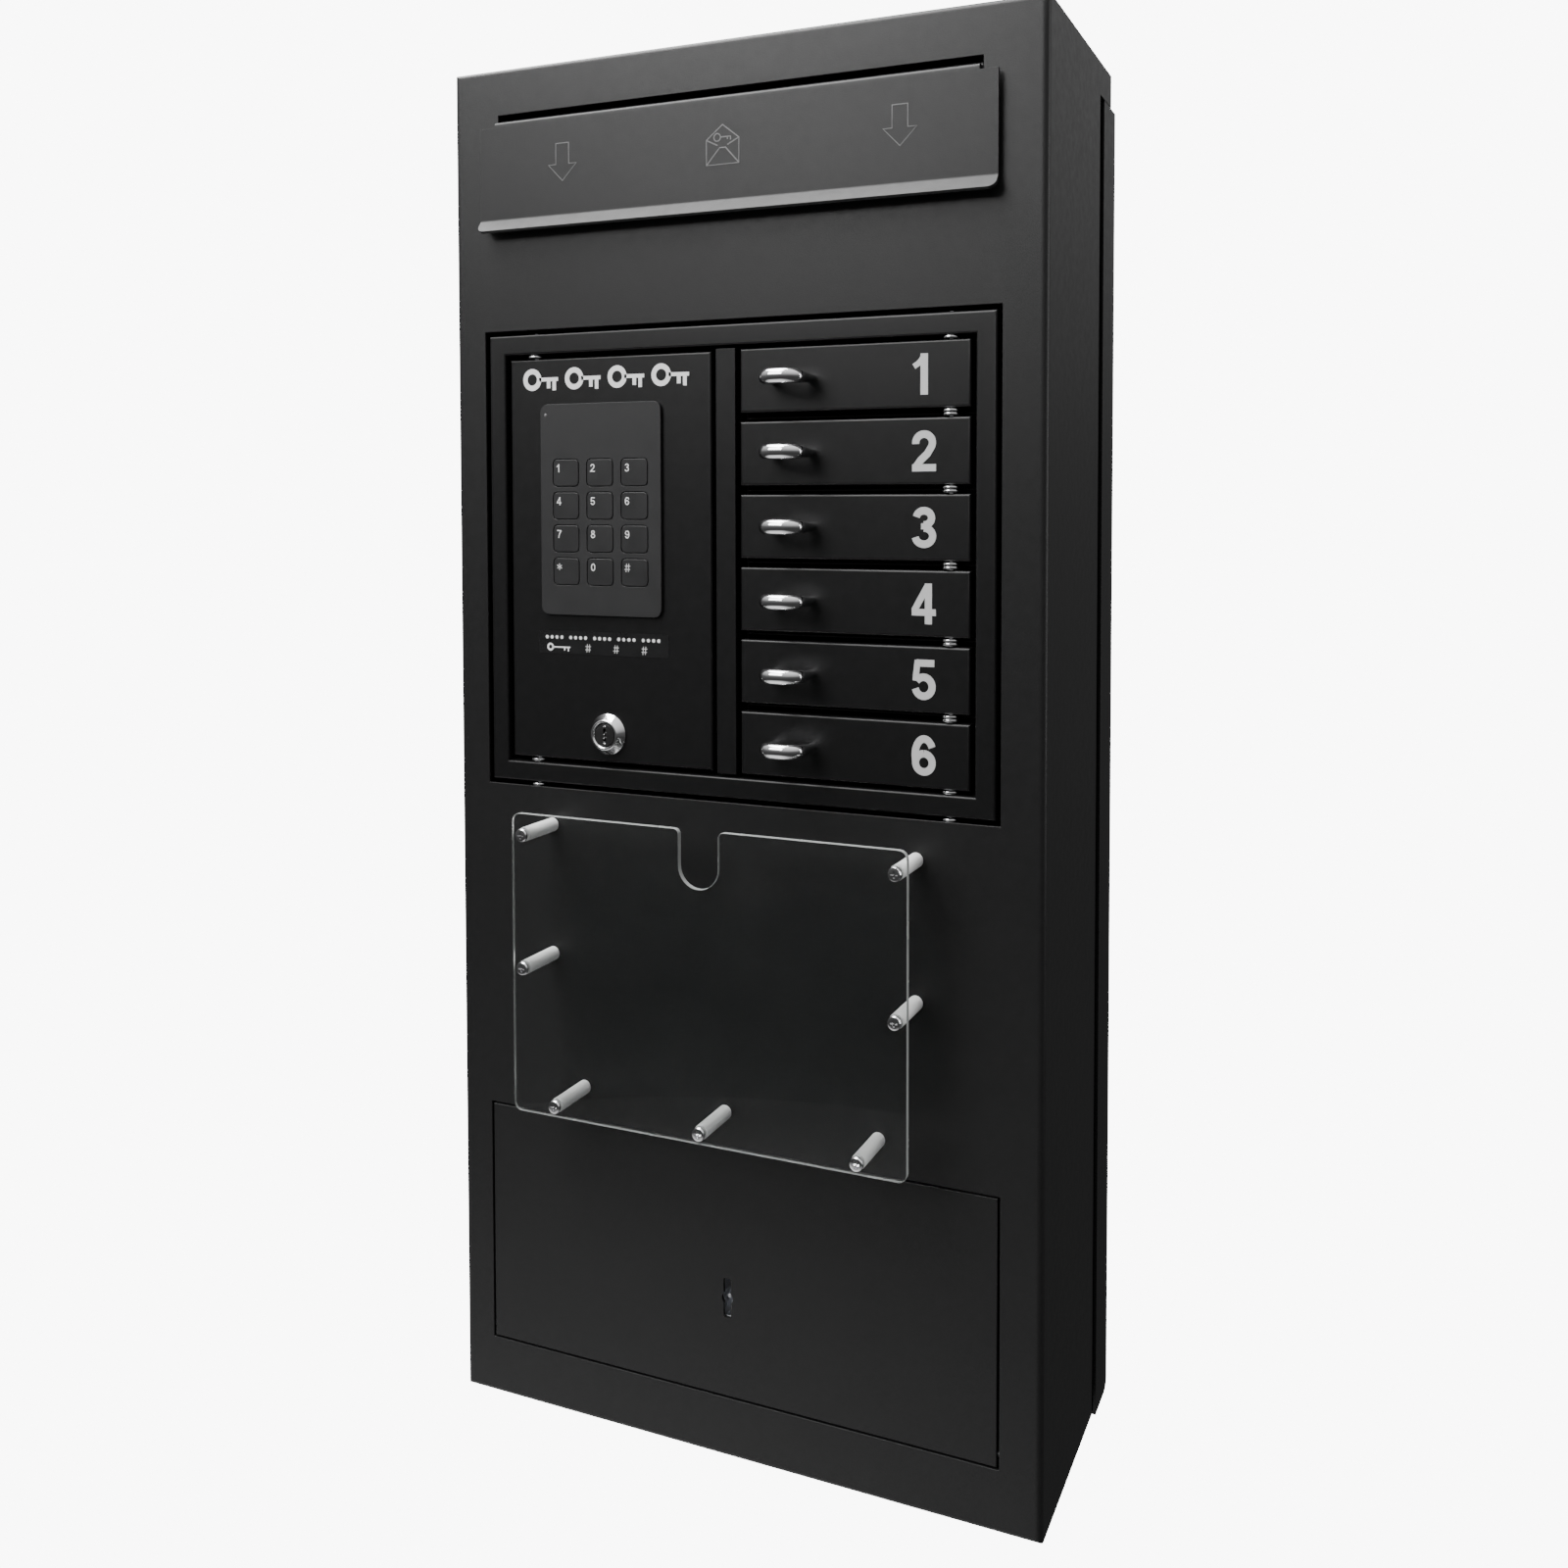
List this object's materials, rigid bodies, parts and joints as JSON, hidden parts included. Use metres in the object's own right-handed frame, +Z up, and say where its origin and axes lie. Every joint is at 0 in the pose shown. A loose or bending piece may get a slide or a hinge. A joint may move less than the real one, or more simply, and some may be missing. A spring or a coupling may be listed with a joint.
{
  "type": "key drop and dispensing cabinet",
  "caption": "Wall-mounted black steel cabinet with a key inlet flap, keypad, numbered key compartments, clear document holder and a lockable deposit door.",
  "frame": {"origin": "middle of the wall tray's back face: half the cabinet's width and half the hood's height", "axes": "+Y into the wall, +Z up, +X to the right for someone facing the front"},
  "size_m": [0.387, 0.1852, 0.847],
  "materials": {
    "hood_coat": "fine textured black powder coat, satin",
    "module_coat": "fine textured black powder coat, satin",
    "inner_coat": "matt black coat",
    "chrome_plate": "bright chrome plate",
    "lock_plug_metal": "dark satin plated brass",
    "zinc_steel": "zinc plated",
    "keypad_plate": "dark grey matt overlay",
    "keypad_keys": "dark grey matt keys",
    "dark_plastic": "matt",
    "clear_acrylic": "clear, polished edges",
    "white_nylon": "white satin"
  },
  "bodies": {
    "cabinet": {"housing_shell": "hood_coat", "wall_tray": "hood_coat", "inner_liner": "inner_coat", "drop_chute": "inner_coat", "inlet_baffle": "inner_coat", "flap_rod": "zinc_steel", "module_case": "module_coat", "compartment_rack": "module_coat", "latch_rail": "zinc_steel", "hinge_rod_right": "chrome_plate", "hinge_rod_left": "chrome_plate", "controller_unit": "dark_plastic", "battery_pack": "dark_plastic", "info_plate": "clear_acrylic", "standoff_1": "white_nylon", "standoff_2": "white_nylon", "standoff_3": "white_nylon", "standoff_4": "white_nylon", "standoff_5": "white_nylon", "standoff_6": "white_nylon", "standoff_7": "white_nylon", "lower_hinge_rod": "zinc_steel", "strike_bar": "zinc_steel"},
    "flap": {"inlet_flap": "hood_coat"},
    "compartment_door_1": {"door_1": "module_coat", "door_handle_1": "chrome_plate"},
    "compartment_door_2": {"door_2": "module_coat", "door_handle_2": "chrome_plate"},
    "compartment_door_3": {"door_3": "module_coat", "door_handle_3": "chrome_plate"},
    "compartment_door_4": {"door_4": "module_coat", "door_handle_4": "chrome_plate"},
    "compartment_door_5": {"door_5": "module_coat", "door_handle_5": "chrome_plate"},
    "compartment_door_6": {"door_6": "module_coat", "door_handle_6": "chrome_plate"},
    "keypad_door": {"control_door": "module_coat", "keypad_body": "keypad_plate", "cam_lock_body": "chrome_plate", "cam_lock_nut": "zinc_steel"},
    "lock_plug": {"cam_lock_plug": "lock_plug_metal", "cam_lock_cam": "zinc_steel"},
    "key_1_button": {"key_1": "keypad_keys"},
    "key_2_button": {"key_2": "keypad_keys"},
    "key_3_button": {"key_3": "keypad_keys"},
    "key_4_button": {"key_4": "keypad_keys"},
    "key_5_button": {"key_5": "keypad_keys"},
    "key_6_button": {"key_6": "keypad_keys"},
    "key_7_button": {"key_7": "keypad_keys"},
    "key_8_button": {"key_8": "keypad_keys"},
    "key_9_button": {"key_9": "keypad_keys"},
    "key_star_button": {"key_star": "keypad_keys"},
    "key_0_button": {"key_0": "keypad_keys"},
    "key_hash_button": {"key_hash": "keypad_keys"},
    "deposit_door": {"lower_door": "hood_coat", "lower_lock_case": "zinc_steel"},
    "deposit_bolt": {"lower_lock_bolt": "zinc_steel"}
  },
  "joints": [
    {"name": "flap_swing", "type": "hinge", "parent": "cabinet", "child": "flap", "pos_m": [-0.0017, -0.1494, 0.386], "axis": [-1, 0, 0], "range_deg": [0, 45]},
    {"name": "door_1_swing", "type": "hinge", "parent": "cabinet", "child": "compartment_door_1", "pos_m": [0.1372, -0.1476, 0.22235], "axis": [0, 0, 1], "range_deg": [0, 110]},
    {"name": "door_2_swing", "type": "hinge", "parent": "cabinet", "child": "compartment_door_2", "pos_m": [0.1372, -0.1476, 0.18015], "axis": [0, 0, 1], "range_deg": [0, 110]},
    {"name": "door_3_swing", "type": "hinge", "parent": "cabinet", "child": "compartment_door_3", "pos_m": [0.1372, -0.1476, 0.13795], "axis": [0, 0, 1], "range_deg": [0, 110]},
    {"name": "door_4_swing", "type": "hinge", "parent": "cabinet", "child": "compartment_door_4", "pos_m": [0.1372, -0.1476, 0.09575], "axis": [0, 0, 1], "range_deg": [0, 110]},
    {"name": "door_5_swing", "type": "hinge", "parent": "cabinet", "child": "compartment_door_5", "pos_m": [0.1372, -0.1476, 0.05355], "axis": [0, 0, 1], "range_deg": [0, 110]},
    {"name": "door_6_swing", "type": "hinge", "parent": "cabinet", "child": "compartment_door_6", "pos_m": [0.1372, -0.1476, 0.01135], "axis": [0, 0, 1], "range_deg": [0, 110]},
    {"name": "control_door_swing", "type": "hinge", "parent": "cabinet", "child": "keypad_door", "pos_m": [-0.137, -0.1476, 0.11685], "axis": [0, 0, -1], "range_deg": [0, 110]},
    {"name": "cam_lock_turn", "type": "hinge", "parent": "keypad_door", "child": "lock_plug", "pos_m": [-0.0832, -0.1526, 0.011], "axis": [0, 1, 0], "range_deg": [0, 90]},
    {"name": "key_1_press", "type": "slide", "parent": "keypad_door", "child": "key_1_button", "axis": [0, 1, 0], "range_m": [0, 0.0008], "stiffness_N_per_m": 400, "springref_m": -0.0004},
    {"name": "key_2_press", "type": "slide", "parent": "keypad_door", "child": "key_2_button", "axis": [0, 1, 0], "range_m": [0, 0.0008], "stiffness_N_per_m": 400, "springref_m": -0.0004},
    {"name": "key_3_press", "type": "slide", "parent": "keypad_door", "child": "key_3_button", "axis": [0, 1, 0], "range_m": [0, 0.0008], "stiffness_N_per_m": 400, "springref_m": -0.0004},
    {"name": "key_4_press", "type": "slide", "parent": "keypad_door", "child": "key_4_button", "axis": [0, 1, 0], "range_m": [0, 0.0008], "stiffness_N_per_m": 400, "springref_m": -0.0004},
    {"name": "key_5_press", "type": "slide", "parent": "keypad_door", "child": "key_5_button", "axis": [0, 1, 0], "range_m": [0, 0.0008], "stiffness_N_per_m": 400, "springref_m": -0.0004},
    {"name": "key_6_press", "type": "slide", "parent": "keypad_door", "child": "key_6_button", "axis": [0, 1, 0], "range_m": [0, 0.0008], "stiffness_N_per_m": 400, "springref_m": -0.0004},
    {"name": "key_7_press", "type": "slide", "parent": "keypad_door", "child": "key_7_button", "axis": [0, 1, 0], "range_m": [0, 0.0008], "stiffness_N_per_m": 400, "springref_m": -0.0004},
    {"name": "key_8_press", "type": "slide", "parent": "keypad_door", "child": "key_8_button", "axis": [0, 1, 0], "range_m": [0, 0.0008], "stiffness_N_per_m": 400, "springref_m": -0.0004},
    {"name": "key_9_press", "type": "slide", "parent": "keypad_door", "child": "key_9_button", "axis": [0, 1, 0], "range_m": [0, 0.0008], "stiffness_N_per_m": 400, "springref_m": -0.0004},
    {"name": "key_star_press", "type": "slide", "parent": "keypad_door", "child": "key_star_button", "axis": [0, 1, 0], "range_m": [0, 0.0008], "stiffness_N_per_m": 400, "springref_m": -0.0004},
    {"name": "key_0_press", "type": "slide", "parent": "keypad_door", "child": "key_0_button", "axis": [0, 1, 0], "range_m": [0, 0.0008], "stiffness_N_per_m": 400, "springref_m": -0.0004},
    {"name": "key_hash_press", "type": "slide", "parent": "keypad_door", "child": "key_hash_button", "axis": [0, 1, 0], "range_m": [0, 0.0008], "stiffness_N_per_m": 400, "springref_m": -0.0004},
    {"name": "lower_door_drop", "type": "hinge", "parent": "cabinet", "child": "deposit_door", "pos_m": [-0.0017, -0.1494, -0.377], "axis": [1, 0, 0], "range_deg": [0, 90]},
    {"name": "lower_bolt_throw", "type": "slide", "parent": "deposit_door", "child": "deposit_bolt", "axis": [0, 0, 1], "range_m": [0, 0.012]}
  ]
}
